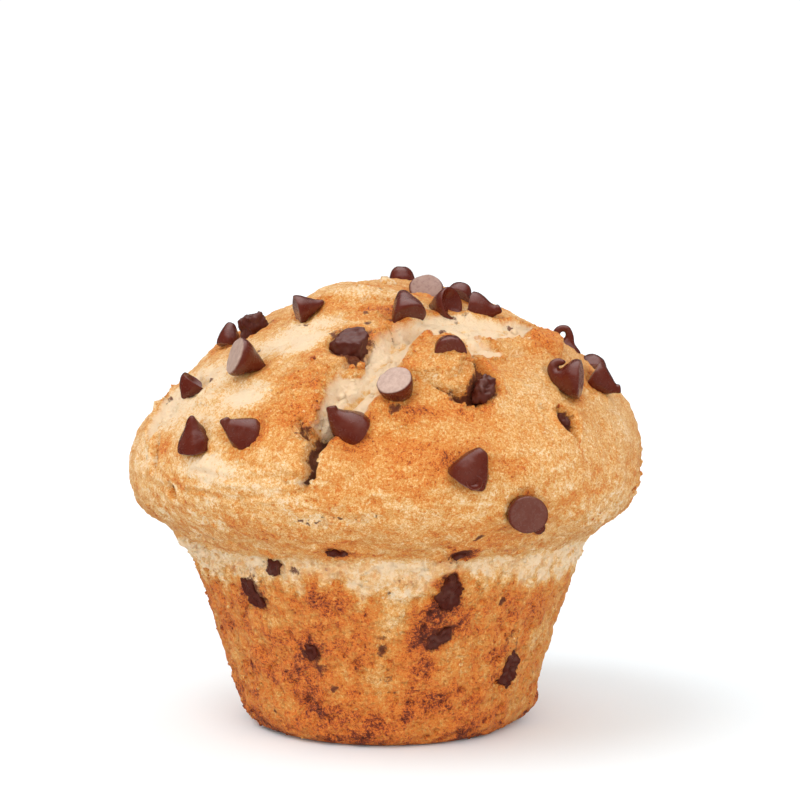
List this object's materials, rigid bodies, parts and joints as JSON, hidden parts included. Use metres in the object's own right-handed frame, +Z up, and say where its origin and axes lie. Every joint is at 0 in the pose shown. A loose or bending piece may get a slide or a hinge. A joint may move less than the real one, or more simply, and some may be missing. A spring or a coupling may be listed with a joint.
{
  "type": "muffin",
  "caption": "Chocolate-chip muffin without a paper case: tapered cup, domed crown cracked open at the top, chips of chocolate set in the crust.",
  "frame": {"origin": "middle of the flat base, on the surface the muffin stands on", "axes": "+Z up, -Y towards the front, +X to the viewer's right when seen from the front"},
  "size_m": [0.0901, 0.095, 0.0802],
  "materials": {
    "baked_crumb": "matt baked crust, golden to orange-brown, pale where it has torn open",
    "chocolate": "satin dark chocolate with a pale bloom on the flat backs"
  },
  "bodies": {
    "root": {"chip_back_1": "chocolate", "chip_back_10": "chocolate", "chip_back_11": "chocolate", "chip_back_12": "chocolate", "chip_back_13": "chocolate", "chip_back_14": "chocolate", "chip_back_15": "chocolate", "chip_back_2": "chocolate", "chip_back_3": "chocolate", "chip_back_4": "chocolate", "chip_back_5": "chocolate", "chip_back_6": "chocolate", "chip_back_7": "chocolate", "chip_back_8": "chocolate", "chip_back_9": "chocolate", "chip_front_flat": "chocolate", "chip_front_left": "chocolate", "chip_front_right": "chocolate", "chip_left_edge": "chocolate", "chip_left_horizon": "chocolate", "chip_left_lying": "chocolate", "chip_left_middle": "chocolate", "chip_left_top": "chocolate", "chip_left_upright": "chocolate", "chip_low_right": "chocolate", "chip_peak_behind": "chocolate", "chip_peak_curl": "chocolate", "chip_peak_flat": "chocolate", "chip_peak_front": "chocolate", "chip_peak_hidden": "chocolate", "chip_peak_side": "chocolate", "chip_right_edge": "chocolate", "chip_right_hidden": "chocolate", "chip_right_horizon": "chocolate", "chip_right_lying": "chocolate", "chip_under_flap": "chocolate", "chunk_back_1": "chocolate", "chunk_back_2": "chocolate", "chunk_back_3": "chocolate", "chunk_back_4": "chocolate", "chunk_back_5": "chocolate", "chunk_back_6": "chocolate", "chunk_back_7": "chocolate", "chunk_back_8": "chocolate", "chunk_crack_left": "chocolate", "chunk_crack_right": "chocolate", "chunk_cup_crumbly": "chocolate", "chunk_cup_large": "chocolate", "chunk_cup_low_left": "chocolate", "chunk_cup_right": "chocolate", "chunk_cup_smear": "chocolate", "chunk_cup_square": "chocolate", "chunk_left_top": "chocolate", "chunk_right_pit": "chocolate", "chunk_rim_left": "chocolate", "chunk_rim_right": "chocolate", "muffin": "baked_crumb"}
  },
  "joints": []
}
